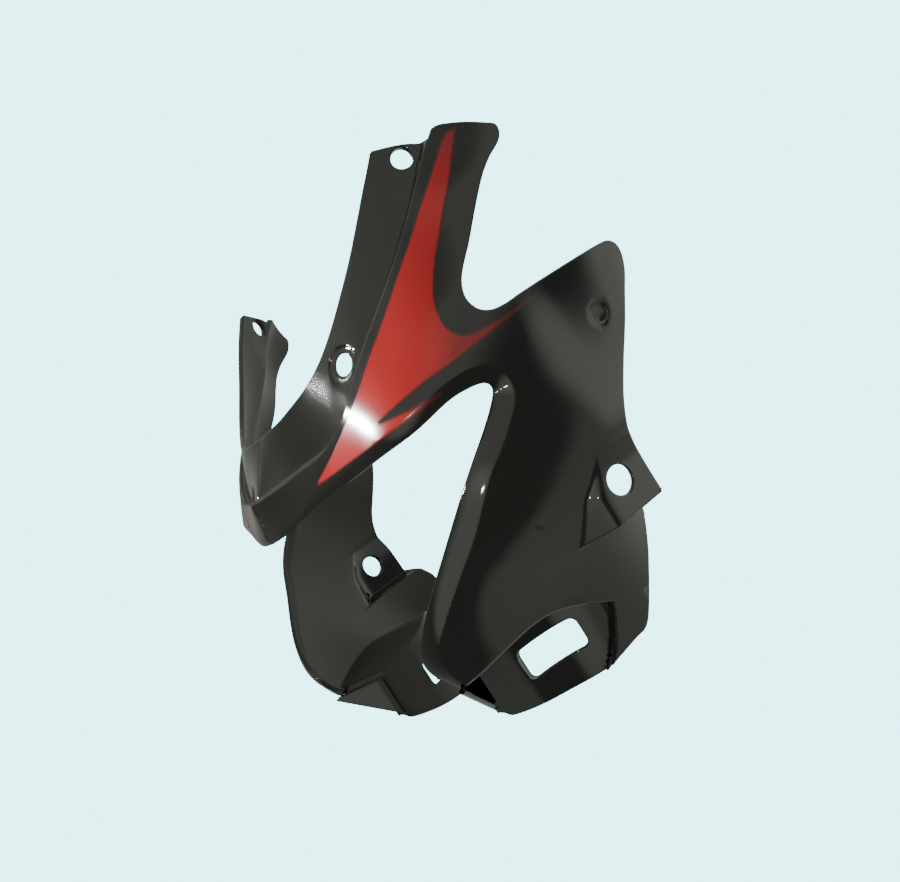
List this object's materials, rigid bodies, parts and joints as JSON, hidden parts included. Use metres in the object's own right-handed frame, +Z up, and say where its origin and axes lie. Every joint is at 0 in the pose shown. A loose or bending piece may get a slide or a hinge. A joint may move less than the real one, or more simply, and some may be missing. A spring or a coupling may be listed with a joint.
{
  "type": "motorcycle headlight visor",
  "caption": "Arch-shaped gloss plastic visor that frames a motorcycle headlight, with a windscreen flange, side lugs, indicator slots and a red vinyl flash on each side.",
  "frame": {"origin": "middle of the line through the two lug bores, on the mid-plane", "axes": "+X to the rider's left along the lug bores, -Y forward, +Z up as the visor stands on the motorcycle"},
  "size_m": [0.2664, 0.1424, 0.2359],
  "materials": {
    "gloss_black": "high gloss lacquer over black moulded plastic, a little dusty",
    "red_vinyl": "glossy red vinyl under clear lacquer"
  },
  "bodies": {
    "root": {"visor_shell": "gloss_black", "decal_left": "red_vinyl", "decal_right": "red_vinyl"}
  },
  "joints": []
}
